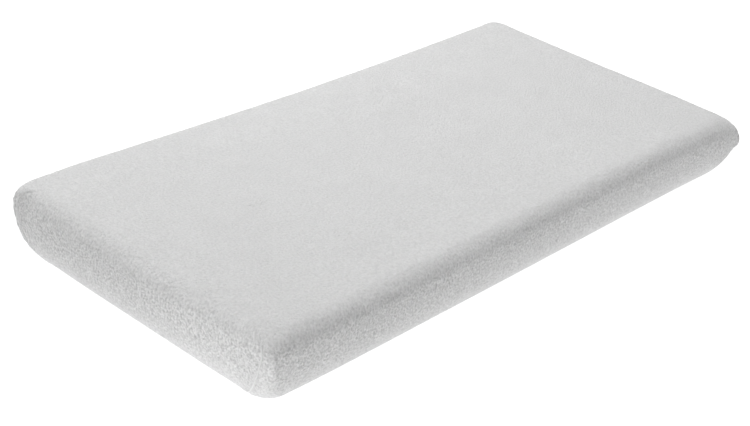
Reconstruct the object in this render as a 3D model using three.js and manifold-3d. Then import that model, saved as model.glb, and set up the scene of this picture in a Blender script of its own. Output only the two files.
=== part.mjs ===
// Changing pad: a foam slab in a zipped waterproof liner, inside a plush fitted cover
// whose elastic hem draws it in under the pad. Millimetres, +Z up, origin at the middle
// of the underside. The long side runs along X.
import * as THREE from 'three';
import { mergeVertices } from 'three/addons/utils/BufferGeometryUtils.js';
import Module from 'manifold-3d';

const wasm = await Module();
wasm.setup();

// Driving sizes of the covered pad
const padLength = 812;
const padWidth = 388;
const padHeight = 94;
const topEdgeRadius = 22;      // rounding of the upper edge
const tuckIn = 56;             // how far the lower edge is drawn in by the elastic
const cornerAtTop = 28;        // plan radius of the corners of the flat top
const cornerAtSide = 10;       // plan radius of the corners at the widest line
const cornerAtBase = 36;       // plan radius of the corners where the cover turns under
const widestHeight = padHeight - topEdgeRadius;

// Layers, each a depth in from the outside of the cover
const coverThickness = 2.4;
const layerGap = 0.4;
const linerThickness = 0.8;
const linerDepth = coverThickness + layerGap;
const foamDepth = linerDepth + linerThickness + layerGap;
const seamGap = 0.35;

// Underside
const marginWidth = 38;        // cover turned under the pad, up to the hem
const casingWidth = 14;
const elasticWidth = 8;
const labelWidth = 22;
const labelLength = 38;

// Zip, let into the underside of the liner
const zipY = 40;
const zipHalfLength = 280;
const coilWidth = 2.8;
const coilHeight = 2.6;
const coilGap = 1.2;
const coilBottom = 4.9;
const tapeThickness = 0.6;
const slitHalfWidth = 9;       // opening between the two bottom panels of the liner
const tapeHalfWidth = 14;
const plateThickness = 1.1;
const sliderLength = 11;
const sliderHalfWidth = 4.8;
const runningGap = 0.35;
const pinRadius = 0.6;
const pullLength = 24;
const stopLength = 4;

const arcSteps = 6;            // facets in one plan corner
const edgeSteps = 7;           // facets round the upper edge, and again round the lower one

const cloth = { roughness: 0.95, metalness: 0 };
const plush = new THREE.MeshStandardMaterial({ color: 0xd6d6d6, ...cloth });
const thread = new THREE.MeshStandardMaterial({ color: 0xe2e2e2, ...cloth });
const coated = new THREE.MeshStandardMaterial({ color: 0xf1f2f2, roughness: 0.45, metalness: 0 });
const foam = new THREE.MeshStandardMaterial({ color: 0xe9e2cf, ...cloth });
const webbing = new THREE.MeshStandardMaterial({ color: 0xf4f4f4, ...cloth });
const nylon = new THREE.MeshStandardMaterial({ color: 0xececec, roughness: 0.4, metalness: 0 });
const metal = new THREE.MeshStandardMaterial({ color: 0xbfc2c6, roughness: 0.35, metalness: 1 });

const object = new THREE.Group();

function addPart(name, geometry, material) {
  const mesh = new THREE.Mesh(geometry, material);
  mesh.name = name;
  object.add(mesh);
  return mesh;
}

// One point of the side profile. u runs from 0, where the flat top ends, through 1 at
// the widest line, to 2, where the flat underside begins. depth is measured square to
// the surface. inset is the distance in from the widest outline.
function profilePoint(u, depth) {
  if (u <= 1) {
    const angle = u * Math.PI / 2;
    return {
      inset: topEdgeRadius * (1 - Math.sin(angle)) + depth * Math.sin(angle),
      z: widestHeight + (topEdgeRadius - depth) * Math.cos(angle),
      corner: cornerAtTop + (cornerAtSide - cornerAtTop) * Math.sin(angle) - depth * Math.sin(angle),
    };
  }
  const angle = (u - 1) * Math.PI / 2;
  const out = Math.cos(angle) / tuckIn;
  const down = Math.sin(angle) / widestHeight;
  const size = Math.hypot(out, down);
  const corner = cornerAtSide + (cornerAtBase - cornerAtSide) * Math.sin(angle);
  return {
    inset: tuckIn * (1 - Math.cos(angle)) + depth * out / size,
    z: widestHeight * (1 - Math.sin(angle)) + depth * down / size,
    corner: corner - depth * out / size,
  };
}

// A rounded rectangle, inset from the widest outline, as a ring of points
function ring({ inset, z, corner }) {
  const x = padLength / 2 - inset - corner;
  const y = padWidth / 2 - inset - corner;
  const centres = [[x, y], [-x, y], [-x, -y], [x, -y]];
  return centres.flatMap(([cx, cy], quarter) =>
    Array.from({ length: arcSteps + 1 }, (_, step) => {
      const angle = (quarter + step / arcSteps) * Math.PI / 2;
      return new THREE.Vector3(cx + corner * Math.cos(angle), cy + corner * Math.sin(angle), z);
    }));
}

// Rings between two places of the profile, at one depth. The steps between them are the
// same for every layer, so that the facets of one layer lie flat along the next.
function rings(from, to, depth) {
  const low = Math.min(from, to);
  const high = Math.max(from, to);
  const steps = Array.from({ length: 2 * edgeSteps + 1 }, (_, step) => step / edgeSteps);
  const places = [low, ...steps.filter((u) => u > low + 0.01 && u < high - 0.01), high];
  if (from > to) places.reverse();
  return places.map((u) => ring(profilePoint(u, depth)));
}

const flatRing = (inset, z) => ring({ inset, z, corner: cornerAtBase });

// Joins rings of equal size into one closed skin. Poles close the first and last ring
// with a fan; without poles the last ring joins the first.
function skin(loops, poles) {
  const size = loops[0].length;
  const points = loops.flat();
  const faces = [];
  const quad = (a, b, c, d) => faces.push(a, b, c, a, c, d);
  const spans = poles ? loops.length - 1 : loops.length;
  for (let row = 0; row < spans; row += 1) {
    const next = (row + 1) % loops.length;
    for (let i = 0; i < size; i += 1) {
      const j = (i + 1) % size;
      quad(row * size + i, next * size + i, next * size + j, row * size + j);
    }
  }
  if (poles) {
    const first = points.length;
    points.push(new THREE.Vector3(0, 0, loops[0][0].z), new THREE.Vector3(0, 0, loops.at(-1)[0].z));
    const last = (loops.length - 1) * size;
    for (let i = 0; i < size; i += 1) {
      const j = (i + 1) % size;
      faces.push(first, i, j, first + 1, last + j, last + i);
    }
  }
  const geometry = new THREE.BufferGeometry().setFromPoints(points);
  geometry.setIndex(faces);
  geometry.computeVertexNormals();
  return geometry;
}

function toSolid(geometry) {
  const bare = geometry.clone();
  bare.deleteAttribute('normal');
  bare.deleteAttribute('uv');
  const merged = mergeVertices(bare, 1e-4);
  return new wasm.Manifold(new wasm.Mesh({
    numProp: 3,
    vertProperties: new Float32Array(merged.attributes.position.array),
    triVerts: new Uint32Array(merged.index.array),
  }));
}

function toGeometry(solid) {
  const mesh = solid.getMesh();
  const geometry = new THREE.BufferGeometry();
  geometry.setAttribute('position', new THREE.BufferAttribute(mesh.vertProperties, 3));
  geometry.setIndex(new THREE.BufferAttribute(mesh.triVerts, 1));
  geometry.computeVertexNormals();
  return geometry;
}

// A box from its lowest corner to its highest corner
function block(low, high) {
  const size = high.map((value, axis) => value - low[axis]);
  const middle = high.map((value, axis) => (value + low[axis]) / 2);
  return new THREE.BoxGeometry(...size).translate(...middle);
}

// An outline in Y and Z, carried along X
function alongX(outline, from, to) {
  const shape = new THREE.Shape(outline.map(([y, z]) => new THREE.Vector2(y, z)));
  const geometry = new THREE.ExtrudeGeometry(shape, { depth: to - from, bevelEnabled: false });
  geometry.applyMatrix4(new THREE.Matrix4().set(0, 0, 1, from, 1, 0, 0, 0, 0, 1, 0, 0, 0, 0, 0, 1));
  return geometry;
}

// Foam core, with a hollow where it yields to the zip
const pocketDepth = 5.6;
const foamSkin = skin(rings(0, 2, foamDepth), true);
const zipPocket = block(
  [-zipHalfLength - 12, zipY - tapeHalfWidth - 2, 0],
  [zipHalfLength + 12, zipY + tapeHalfWidth + 2, foamDepth + pocketDepth],
);
addPart('foam_core', toGeometry(toSolid(foamSkin).subtract(toSolid(zipPocket))), foam);

// Waterproof liner: top panel, side band and the two bottom panels either side of the zip
const linerSeamAt = 0.55;
const linerInside = linerDepth + linerThickness;
const bandLip = 8;
const seamStep = seamGap / (topEdgeRadius * Math.PI / 2);

addPart('liner_top_panel', skin([
  ...rings(0, linerSeamAt, linerDepth),
  ...rings(linerSeamAt, 0, linerInside),
], true), coated);

addPart('liner_side_band', skin([
  ...rings(linerSeamAt + seamStep, 2, linerDepth),
  flatRing(tuckIn + bandLip, linerDepth),
  flatRing(tuckIn + bandLip, linerInside),
  ...rings(2, linerSeamAt + seamStep, linerInside),
]), coated);

const panelInset = tuckIn + bandLip + seamGap;
const wholePanel = toSolid(skin([
  flatRing(panelInset, linerInside),
  flatRing(panelInset, linerDepth),
], true));

function bottomPanel(side) {
  const edge = zipY + side * slitHalfWidth;
  const farSide = edge - side * padWidth;
  const cut = block(
    [-padLength, Math.min(edge, farSide), 0],
    [padLength, Math.max(edge, farSide), padHeight],
  );
  return toGeometry(wholePanel.subtract(toSolid(cut)));
}

addPart('liner_bottom_front', bottomPanel(-1), coated);
addPart('liner_bottom_rear', bottomPanel(1), coated);

// Zip: two tapes that step up into the hollow, a coil along the edge of each, and the
// stops that end the slider's run
const coilOuter = coilGap / 2 + coilWidth;
const coilTop = coilBottom + coilHeight;
const tapeLevel = (coilBottom + coilTop - tapeThickness) / 2;
const tapeSeat = linerInside + seamGap;
const tapeInner = coilOuter + runningGap;
const tapeRise = tapeInner + 2.6;

for (const [place, side] of [['front', -1], ['rear', 1]]) {
  const tape = [
    [tapeHalfWidth, tapeSeat], [tapeHalfWidth, tapeSeat + tapeThickness],
    [slitHalfWidth, tapeSeat + tapeThickness], [tapeRise, tapeLevel + tapeThickness],
    [tapeInner, tapeLevel + tapeThickness], [tapeInner, tapeLevel],
    [tapeRise, tapeLevel], [slitHalfWidth, tapeSeat],
  ].map(([y, z]) => [zipY + side * y, z]);
  addPart(`zip_tape_${place}`, alongX(tape, -zipHalfLength - 6, zipHalfLength + 6), webbing);

  const middle = zipY + side * (coilGap + coilWidth) / 2;
  const coil = Array.from({ length: 8 }, (_, step) => {
    const angle = (step + 0.5) * Math.PI / 4;
    const reach = 1 / Math.cos(Math.PI / 8);
    const across = THREE.MathUtils.clamp(reach * Math.cos(angle), -1, 1);
    const up = THREE.MathUtils.clamp(reach * Math.sin(angle), -1, 1);
    return [middle + across * coilWidth / 2, (coilBottom + coilTop) / 2 + up * coilHeight / 2];
  });
  addPart(`zip_coil_${place}`, alongX(coil, -zipHalfLength, zipHalfLength), nylon);
}

for (const [name, side] of [['zip_closed_end_stop', 1], ['zip_open_end_stop', -1]]) {
  const near = side * (zipHalfLength + seamGap);
  const far = near + side * stopLength;
  addPart(name, block(
    [Math.min(near, far), zipY - coilOuter, coilBottom - runningGap],
    [Math.max(near, far), zipY + coilOuter, coilTop + runningGap],
  ), metal);
}

// Slider: a plate under the coils and a plate over them, joined by a post that runs in
// the gap between the coils, with flanges outside them and a loop below for the pull
const sliderX = zipHalfLength - 10;
const lowerPlate = coilBottom - runningGap - plateThickness;
const upperPlate = coilTop + runningGap;
const loopHalfWidth = 0.8;
const loopHalfLength = 3.8;
const loopThickness = 1;
const pinHeight = lowerPlate - runningGap - pinRadius;
const loopBottom = pinHeight - pinRadius - runningGap - loopThickness;

function sliderPlate(bottom) {
  const nose = sliderLength / 2;
  const outline = new THREE.Shape();
  outline.moveTo(nose, -sliderHalfWidth * 0.6);
  outline.quadraticCurveTo(nose * 1.06, 0, nose, sliderHalfWidth * 0.6);
  outline.lineTo(nose * 0.6, sliderHalfWidth);
  outline.lineTo(-nose * 0.5, sliderHalfWidth);
  outline.quadraticCurveTo(-nose, sliderHalfWidth * 0.9, -nose, 0);
  outline.quadraticCurveTo(-nose, -sliderHalfWidth * 0.9, -nose * 0.5, -sliderHalfWidth);
  outline.lineTo(nose * 0.6, -sliderHalfWidth);
  const geometry = new THREE.ExtrudeGeometry(outline, {
    depth: plateThickness, bevelEnabled: false, curveSegments: 5,
  });
  return geometry.translate(sliderX, zipY, bottom);
}

const sliderPieces = [sliderPlate(lowerPlate), sliderPlate(upperPlate)];
sliderPieces.push(block(
  [sliderX - 1.2, zipY - coilGap / 2 + runningGap, lowerPlate + 0.2],
  [sliderX + 1.2, zipY + coilGap / 2 - runningGap, upperPlate + 0.2],
));
for (const side of [-1, 1]) {
  const flangeY = [zipY + side * (coilOuter + runningGap), zipY + side * sliderHalfWidth];
  const low = [sliderX - 2.6, Math.min(...flangeY)];
  const high = [sliderX + 3.2, Math.max(...flangeY)];
  sliderPieces.push(block([...low, lowerPlate + 0.2], [...high, tapeLevel - runningGap]));
  sliderPieces.push(block(
    [...low, tapeLevel + tapeThickness + runningGap],
    [...high, upperPlate + 0.2],
  ));
  const legX = [side * (loopHalfLength - 1.2), side * loopHalfLength];
  sliderPieces.push(block(
    [sliderX + Math.min(...legX), zipY - loopHalfWidth, loopBottom + 0.2],
    [sliderX + Math.max(...legX), zipY + loopHalfWidth, lowerPlate + 0.2],
  ));
}
sliderPieces.push(block(
  [sliderX - loopHalfLength, zipY - loopHalfWidth, loopBottom],
  [sliderX + loopHalfLength, zipY + loopHalfWidth, loopBottom + loopThickness],
));
const slider = sliderPieces.map(toSolid).reduce((whole, piece) => whole.add(piece));
addPart('zip_slider', toGeometry(slider), metal);

// Pull: a pin through the loop, two arms beside it and a rounded tab
const armInner = loopHalfWidth + 0.5;
const armOuter = 2.6;
const tabStart = loopHalfLength + 2.4;
const pullThickness = 1.1;
const tab = new THREE.Shape();
const tabHalfWidth = 3.1;
tab.moveTo(-tabStart, -armOuter);
tab.lineTo(-tabStart, armOuter);
tab.lineTo(-tabStart - 3, tabHalfWidth);
tab.lineTo(-pullLength + tabHalfWidth, tabHalfWidth);
tab.absarc(-pullLength + tabHalfWidth, 0, tabHalfWidth, Math.PI / 2, Math.PI * 1.5, false);
tab.lineTo(-tabStart - 3, -tabHalfWidth);
const pullPieces = [
  new THREE.ExtrudeGeometry(tab, { depth: pullThickness, bevelEnabled: false, curveSegments: 10 })
    .translate(0, 0, -pullThickness / 2),
  new THREE.CylinderGeometry(pinRadius, pinRadius, 2 * armOuter, 16),
];
for (const side of [-1, 1]) {
  const armY = [side * armInner, side * armOuter];
  pullPieces.push(block(
    [-tabStart - 0.2, Math.min(...armY), -pullThickness / 2],
    [pinRadius * 0.6, Math.max(...armY), pullThickness / 2],
  ));
}
const pull = pullPieces.map(toSolid).reduce((whole, piece) => whole.add(piece));
const pullMesh = addPart('zip_pull', toGeometry(pull), metal);
pullMesh.position.set(sliderX, zipY, pinHeight);

// Fitted cover, open underneath inside its hem
const hemInset = tuckIn + marginWidth;
addPart('fitted_cover', skin([
  ...rings(0, 2, 0),
  flatRing(hemInset, 0),
  flatRing(hemInset, coverThickness),
  ...rings(2, 0, coverThickness),
], true), plush);

// Corner seams: a rolled ridge down each corner of the cover, from just inside the
// upper edge to where the corner turns under
const seamRadius = 1;
const seamLift = 0.8;           // clear of the cover's facets
const seamFrom = 0.4;
const seamTo = 1.82;
const seamSteps = 14;
const seamSection = new THREE.Shape(Array.from({ length: 8 }, (_, step) => {
  const angle = step * Math.PI / 4;
  return new THREE.Vector2(seamRadius * Math.cos(angle), seamRadius * Math.sin(angle));
}));

function cornerSeam(alongSide, acrossSide) {
  const points = Array.from({ length: seamSteps + 1 }, (_, step) => {
    const u = seamFrom + (seamTo - seamFrom) * step / seamSteps;
    const { inset, z, corner } = profilePoint(u, -seamRadius - seamLift);
    const onArc = corner * Math.SQRT1_2;
    return new THREE.Vector3(
      alongSide * (padLength / 2 - inset - corner + onArc),
      acrossSide * (padWidth / 2 - inset - corner + onArc),
      z,
    );
  });
  const path = new THREE.CatmullRomCurve3(points);
  const shape = { steps: seamSteps, extrudePath: path, bevelEnabled: false };
  return new THREE.ExtrudeGeometry(seamSection, shape);
}

for (const [end, alongSide] of [['left', -1], ['right', 1]]) {
  for (const [place, acrossSide] of [['front', -1], ['rear', 1]]) {
    addPart(`corner_seam_${place}_${end}`, cornerSeam(alongSide, acrossSide), thread);
  }
}

// Hem: a folded casing, open along its outer edge, with the elastic inside it
const casingInset = hemInset + layerGap;
const casingBottom = 0.4;
const casingWall = 0.5;
const casingMouth = [casingBottom + casingWall, coverThickness - casingWall];
addPart('hem_casing', skin([
  flatRing(casingInset, coverThickness),
  flatRing(casingInset, casingMouth[1]),
  flatRing(casingInset + casingWidth - casingWall, casingMouth[1]),
  flatRing(casingInset + casingWidth - casingWall, casingMouth[0]),
  flatRing(casingInset, casingMouth[0]),
  flatRing(casingInset, casingBottom),
  flatRing(casingInset + casingWidth, casingBottom),
  flatRing(casingInset + casingWidth, coverThickness),
]), plush);

const elasticInset = casingInset + (casingWidth - elasticWidth) / 2;
const elasticLow = casingMouth[0] + 0.25;
const elasticHigh = casingMouth[1] - 0.25;
addPart('hem_elastic', skin([
  flatRing(elasticInset, elasticHigh),
  flatRing(elasticInset, elasticLow),
  flatRing(elasticInset + elasticWidth, elasticLow),
  flatRing(elasticInset + elasticWidth, elasticHigh),
]), webbing);

// Blank sewn-in label, lying inside the opening at the front
const labelX = -205;
const labelY = -(padWidth / 2 - casingInset - casingWidth) + layerGap;
addPart('care_label', block(
  [labelX, labelY, casingBottom + 0.8],
  [labelX + labelWidth, labelY + labelLength, casingBottom + 1.2],
), webbing);

export default object;
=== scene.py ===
import math

import bmesh
import bpy
import numpy as np
from mathutils import Matrix, Vector


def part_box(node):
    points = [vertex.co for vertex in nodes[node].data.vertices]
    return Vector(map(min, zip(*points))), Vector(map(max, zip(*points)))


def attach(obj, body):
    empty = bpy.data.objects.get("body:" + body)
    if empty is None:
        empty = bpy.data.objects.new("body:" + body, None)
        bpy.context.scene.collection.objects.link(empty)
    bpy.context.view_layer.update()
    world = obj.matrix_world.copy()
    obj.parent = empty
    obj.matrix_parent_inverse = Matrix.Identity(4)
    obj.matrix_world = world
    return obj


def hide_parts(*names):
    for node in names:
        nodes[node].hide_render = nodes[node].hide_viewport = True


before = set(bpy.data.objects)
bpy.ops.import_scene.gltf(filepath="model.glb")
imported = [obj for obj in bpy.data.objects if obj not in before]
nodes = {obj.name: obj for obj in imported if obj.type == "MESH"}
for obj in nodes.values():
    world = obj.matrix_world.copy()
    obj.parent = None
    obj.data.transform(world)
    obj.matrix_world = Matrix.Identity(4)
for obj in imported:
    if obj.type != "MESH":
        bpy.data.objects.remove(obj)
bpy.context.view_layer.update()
scene = bpy.context.scene

# Sizes read from the frame, in metres
halfLength, halfWidth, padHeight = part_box("fitted_cover")[1]
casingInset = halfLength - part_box("hem_casing")[1][0]
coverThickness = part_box("hem_casing")[1][2]
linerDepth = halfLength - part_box("liner_side_band")[1][0]
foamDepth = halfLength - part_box("foam_core")[1][0]
zipY = (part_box("zip_coil_front")[0][1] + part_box("zip_coil_rear")[1][1]) / 2
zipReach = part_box("zip_coil_front")[1][0]
tapeTail = 0.022         # open slit past each end of the coils, where the pull can lie
quarterTurn = math.pi / 2

cameraSettings = {
    "yaw": -51.883,           # degrees round the pad, from straight in front
    "elevation": 28.35,
    "roll": 7.447,
    "distance": 4.3148,       # this and the two slides are in half lengths of the pad
    "slideRight": -0.0788,
    "slideUp": -0.0862,
    "lens": 74.605,
}


def makeCamera(settings):
    yaw, elevation, roll = (math.radians(settings[key]) for key in ("yaw", "elevation", "roll"))
    back = Vector((math.sin(yaw) * math.cos(elevation), -math.cos(yaw) * math.cos(elevation),
                   math.sin(elevation)))
    level = Vector((math.cos(yaw), math.sin(yaw), 0))
    upright = back.cross(level)
    right = math.cos(roll) * level + math.sin(roll) * upright
    up = math.cos(roll) * upright - math.sin(roll) * level
    offset = back * settings["distance"] + right * settings["slideRight"] + up * settings["slideUp"]
    place = Vector((0, 0, padHeight / 2)) + halfLength * offset
    data = bpy.data.cameras.new("camera")
    data.lens = settings["lens"]
    data.sensor_width = 36
    data.clip_end = 50
    camera = bpy.data.objects.new("camera", data)
    camera.matrix_world = Matrix.Translation(place) @ Matrix((right, up, back)).transposed().to_4x4()
    scene.collection.objects.link(camera)
    scene.camera = camera


makeCamera(cameraSettings)
print("camera placed")

cornerSides = ((-1, -1), (1, -1), (1, 1), (-1, 1))     # front left, front right, rear right, rear left
padShape = {
    "topEdge": 0.020,         # radius of the upper edge
    "tuckIn": 0.0596,         # how far the lower edge is drawn in
    "fullness": 2.47,         # 2 makes the lower edge an ellipse, more makes it squarer
    "cornerAtTop": 0.031,     # plan radius of the corners of the flat top
    "cornerAtSide": 0.006,    # at the widest line
    "cornerAtBase": 0.023,    # where the cover turns under
    "cornerDraw": (0.008, -0.003, -0.0004, 0.0078),       # how far each corner draws in
    "cornerLift": (-0.0024, -0.0070, -0.0007, -0.0032),   # how far its upper part rises
    "edgeSag": (-0.0040, 0.0021, 0.0093, 0.0017),         # front, right, rear and left upper edges
    "sideBow": 0.0009,        # how far the long sides swell between the corners
}


def profileAt(place, depth, shape):
    # place runs 0 to 1 round the upper edge, a quarter circle, and 1 to 2 round the lower
    # edge, a quarter superellipse. Below 0 it is metres across the flat top and above 2
    # metres across the underside. Gives inset from the widest line, height and corner radius.
    upper = np.clip(place, 0, 1) * quarterTurn
    lower = np.clip(place - 1, 0, 1) * quarterTurn
    power = 2 / shape["fullness"]
    widest = padHeight - shape["topEdge"]
    cosine, sine = np.clip(np.cos(lower), 1e-9, 1), np.sin(lower)
    # The slope of the superellipse |a|^n + |b|^n = 1 is a^(n-1), b^(n-1)
    out = np.where(place < 1, np.sin(upper), cosine ** (2 - power) / shape["tuckIn"])
    up = np.where(place < 1, np.cos(upper), -(sine ** (2 - power)) / widest)
    size = np.hypot(out, up)
    out, up = out / size, up / size
    inset = shape["topEdge"] * (1 - np.sin(upper)) + shape["tuckIn"] * (1 - cosine ** power)
    inset = inset - np.minimum(place, 0) + np.maximum(place - 2, 0)
    height = widest + shape["topEdge"] * np.cos(upper) - widest * sine ** power
    corner = shape["cornerAtTop"] + (shape["cornerAtSide"] - shape["cornerAtTop"]) * np.sin(upper)
    corner = corner + (shape["cornerAtBase"] - shape["cornerAtSide"]) * sine
    return inset + depth * out, height - depth * up, np.maximum(corner - depth * out, 0.0005)


def gradedSteps(length, fine, coarse, reach=0.09):
    # Places from 0 to length: fine apart at both ends, growing to coarse apart past reach
    places = [0.0]
    while places[-1] < length / 2:
        share = min(places[-1] / reach, 1)
        places.append(places[-1] + fine + (coarse - fine) * share * share)
    half = np.array(places) / places[-1] * length / 2
    return np.concatenate([half, length - half[-2::-1]])


def roundedRings(inset, height, corner, fine, coarse, steps):
    # One rounded rectangle for each inset: four straight sides and four corner arcs,
    # anticlockwise. Gives rows by columns by 3, and each column's place round the pad,
    # where corners are at 0.5, 1.5, 2.5 and 3.5.
    inset, corner = inset[:, None], np.minimum(corner, halfWidth - inset)[:, None]
    x = halfLength - inset - corner
    y = halfWidth - inset - corner
    arc = np.linspace(0, quarterTurn, steps)[None, :-1]
    columns, around = [], []
    for quarter in range(4):
        out = np.array([[1, 0], [0, 1], [-1, 0], [0, -1]][quarter])
        on = np.array([-out[1], out[0]])
        reachOut, reachOn = (x, y) if quarter % 2 == 0 else (y, x)
        length = 2 * (halfWidth if quarter % 2 == 0 else halfLength)
        share = gradedSteps(length, fine, coarse)[None, :-1] / length
        along = (2 * share - 1) * reachOn
        across = reachOut + corner + 0 * share
        columns.append(out * across[..., None] + on * along[..., None])
        ahead = reachOut + corner * np.cos(arc)
        aside = reachOn + corner * np.sin(arc)
        columns.append(out * ahead[..., None] + on * aside[..., None])
        around.append(quarter + 0.45 * (2 * share[0] - 1))
        around.append(quarter + 0.45 + 0.1 * arc[0] / quarterTurn)
    plan = np.concatenate(columns, axis=1)
    heights = np.broadcast_to(height[:, None, None], plan.shape[:2] + (1,))
    return np.concatenate([plan, heights], axis=2), np.concatenate(around)


def settle(points, shape):
    # Each corner draws in and lifts by its own amount, fading as the 8th power of the place
    # along the pad and the 4th power of the place across it. Each upper edge sags as a
    # parabola, and the long sides swell as one.
    x, y, z = points[..., 0], points[..., 1], points[..., 2]
    along, across = np.clip(x / halfLength, -1, 1), np.clip(y / halfWidth, -1, 1)
    share = np.clip(z / padHeight, 0, 1)
    moved = np.stack([x, y * (1 + shape["sideBow"] / halfWidth * (1 - along ** 2)), z], -1)
    for (sideX, sideY), draw, lift in zip(cornerSides, shape["cornerDraw"], shape["cornerLift"]):
        near = np.clip(sideX * along, 0, 1) ** 8 * np.clip(sideY * across, 0, 1) ** 4
        moved[..., 0] -= sideX * draw * near
        moved[..., 1] -= sideY * draw * near
        moved[..., 2] += lift * near * share
    front, right, rear, left = shape["edgeSag"]
    longWays, shortWays = 1 - along ** 2, 1 - across ** 2
    drop = longWays * (front * np.clip(-across, 0, 1) ** 4 + rear * np.clip(across, 0, 1) ** 4)
    drop += shortWays * (right * np.clip(along, 0, 1) ** 8 + left * np.clip(-along, 0, 1) ** 8)
    moved[..., 2] -= drop * share
    return moved


def layerGrid(places, depth, shape, fine, coarse, steps):
    # One layer of the pad, at a depth in from the outside of the cover
    inset, height, corner = profileAt(places, depth, shape)
    grid, around = roundedRings(inset, height, corner, fine, coarse, steps)
    return settle(grid, shape), around


def crossTop(fine, coarse, shape):
    # Places from the middle of the top to where its edge starts to turn down
    reach = halfWidth - shape["topEdge"]
    across = gradedSteps(2 * reach, fine, coarse, 0.08)
    return -across[across <= reach + 1e-9][:0:-1]


def smoothStep(value):
    value = np.clip(value, 0, 1)
    return value * value * (3 - 2 * value)


def meshOf(name, points, faces):
    # faces is a list of arrays, each with one row of point numbers for each face
    mesh = bpy.data.meshes.new(name)
    mesh.from_pydata(points.reshape(-1, 3), [], [row for group in faces for row in group.tolist()])
    piece = bpy.data.objects.new(name, mesh)
    scene.collection.objects.link(piece)
    return piece


def gridMesh(name, grid, wrapRows=False, capped=False):
    # Rows by columns of points, joined round each row, as a mesh of quads. Caps close the
    # first and last row with one face each.
    rows, columns = grid.shape[:2]
    index = np.arange(rows * columns).reshape(rows, columns)
    below = np.roll(index, -1, axis=0)
    ends = [index[:1], index[-1:, ::-1]] if capped else []
    if not wrapRows:
        index, below = index[:-1], below[:-1]
    quads = np.stack([index, below, np.roll(below, -1, axis=1), np.roll(index, -1, axis=1)], -1)
    return meshOf(name, grid, [quads.reshape(-1, 4), *ends])


def finishMesh(piece, distance=1e-6, sharpAngle=None):
    # Points that meet are merged, faces are turned outwards if the enclosed volume comes
    # out negative, and every face is shaded smooth
    work = bmesh.new()
    work.from_mesh(piece.data)
    bmesh.ops.remove_doubles(work, verts=work.verts, dist=distance)
    bmesh.ops.dissolve_degenerate(work, edges=work.edges, dist=distance)
    if work.calc_volume(signed=True) < 0:
        bmesh.ops.reverse_faces(work, faces=work.faces)
    work.to_mesh(piece.data)
    work.free()
    piece.data.polygons.foreach_set("use_smooth", np.ones(len(piece.data.polygons), bool))
    if sharpAngle is not None:
        piece.data.set_sharp_from_angle(angle=sharpAngle)
    piece.data.update()
    return piece


def dress(piece, material, standsFor=(), body="pad"):
    piece.data.materials.clear()
    piece.data.materials.append(material)
    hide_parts(*standsFor)
    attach(piece, body)
    print(piece.name, len(piece.data.polygons), "faces")
    return piece


def shaderMaterial(name, colour, roughness, specular=0.2):
    material = bpy.data.materials.new(name)
    material.use_nodes = True
    tree = material.node_tree
    shader = tree.nodes["Principled BSDF"]
    shader.inputs["Base Color"].default_value = (*colour, 1)
    shader.inputs["Roughness"].default_value = roughness
    shader.inputs["Specular IOR Level"].default_value = specular
    place = tree.nodes.new("ShaderNodeTexCoord").outputs
    return material, tree, shader, place


def noiseNode(tree, vector, scale, detail, roughness=0.5):
    noise = tree.nodes.new("ShaderNodeTexNoise")
    noise.inputs["Scale"].default_value = scale
    noise.inputs["Detail"].default_value = detail
    noise.inputs["Roughness"].default_value = roughness
    tree.links.new(vector, noise.inputs["Vector"])
    return noise.outputs["Fac"]


def waveNode(tree, vector, scale, direction, distortion=0.4):
    wave = tree.nodes.new("ShaderNodeTexWave")
    wave.bands_direction = direction
    wave.inputs["Scale"].default_value = scale
    wave.inputs["Distortion"].default_value = distortion
    wave.inputs["Detail"].default_value = 1
    tree.links.new(vector, wave.inputs["Vector"])
    return wave.outputs["Fac"]


def mathNode(tree, operation, *values):
    node = tree.nodes.new("ShaderNodeMath")
    node.operation = operation
    for socket, value in zip(node.inputs, values):
        if isinstance(value, (int, float)):
            socket.default_value = value
        else:
            tree.links.new(value, socket)
    return node.outputs["Value"]


def bumpNode(tree, shader, height, distance, strength=1.0):
    bump = tree.nodes.new("ShaderNodeBump")
    bump.inputs["Distance"].default_value = distance
    bump.inputs["Strength"].default_value = strength
    tree.links.new(height, bump.inputs["Height"])
    tree.links.new(bump.outputs["Normal"], shader.inputs["Normal"])


def tintNode(tree, shader, factor, low, high, start=0.3, end=0.7):
    # The base colour runs from low to high as the factor runs from start to end
    ramp = tree.nodes.new("ShaderNodeValToRGB")
    for element, colour, position in zip(ramp.color_ramp.elements, (low, high), (start, end)):
        element.position = position
        element.color = (*colour, 1)
    tree.links.new(factor, ramp.inputs["Fac"])
    tree.links.new(ramp.outputs["Color"], shader.inputs["Base Color"])


plushLook = {
    "grey": 0.83,
    "tuftScale": 420,         # tufts about 2 mm across
    "fibreScale": 1700,
    "napScale": 150,
    "mottleScale": 26,
    "topTuftShade": 0.36,         # how much painted shade between the tufts darkens and lightens the top
    "sideTuftShade": 1.30,        # and more on the sides, as painted shade where the light grazes the pile
    "pileHeight": 0.0024,
}


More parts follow.
